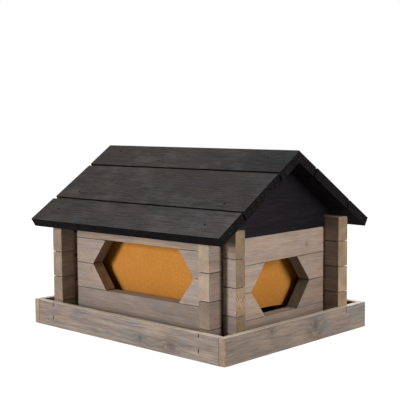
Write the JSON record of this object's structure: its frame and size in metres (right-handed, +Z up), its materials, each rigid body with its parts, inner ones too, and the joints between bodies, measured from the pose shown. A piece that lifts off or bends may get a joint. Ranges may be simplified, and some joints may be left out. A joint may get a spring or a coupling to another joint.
{
  "type": "bird feeder",
  "caption": "Log cabin bird feeder: a rimmed tray, crossing log walls with six-sided windows, an inner seed hopper and a plank gable roof.",
  "frame": {"origin": "under the middle of the tray, on the ground", "axes": "+X along the front to the viewer's right, +Y from front to back, +Z up"},
  "size_m": [0.472, 0.4006, 0.3229],
  "materials": {
    "weathered_wood": "matt grey-brown stained softwood",
    "floor_wood": "matt dark stained softwood",
    "charcoal_wood": "matt charcoal stained softwood",
    "hardboard": "matt ochre hardboard"
  },
  "bodies": {
    "root": {"front_rim_board": "weathered_wood", "back_rim_board": "weathered_wood", "left_rim_board": "weathered_wood", "right_rim_board": "weathered_wood", "floor_plank_1": "floor_wood", "floor_plank_2": "floor_wood", "floor_plank_3": "floor_wood", "front_log_1": "weathered_wood", "front_log_2_left": "weathered_wood", "front_log_2_right": "weathered_wood", "front_log_3_left": "weathered_wood", "front_log_3_right": "weathered_wood", "front_log_4": "weathered_wood", "right_gable_log_1": "weathered_wood", "right_gable_log_2_left": "weathered_wood", "right_gable_log_2_right": "weathered_wood", "right_gable_log_3_left": "weathered_wood", "right_gable_log_3_right": "weathered_wood", "right_gable_log_4": "weathered_wood", "back_log_1": "weathered_wood", "back_log_2_left": "weathered_wood", "back_log_2_right": "weathered_wood", "back_log_3_left": "weathered_wood", "back_log_3_right": "weathered_wood", "back_log_4": "weathered_wood", "left_gable_log_1": "weathered_wood", "left_gable_log_2_left": "weathered_wood", "left_gable_log_2_right": "weathered_wood", "left_gable_log_3_left": "weathered_wood", "left_gable_log_3_right": "weathered_wood", "left_gable_log_4": "weathered_wood", "front_hopper_panel": "hardboard", "back_hopper_panel": "hardboard", "left_hopper_panel": "hardboard", "right_hopper_panel": "hardboard", "left_gable_board": "charcoal_wood", "right_gable_board": "charcoal_wood", "front_ridge_plank": "charcoal_wood", "front_middle_plank": "charcoal_wood", "front_eave_plank": "charcoal_wood", "back_ridge_plank": "charcoal_wood", "back_middle_plank": "charcoal_wood", "back_eave_plank": "charcoal_wood"}
  },
  "joints": []
}
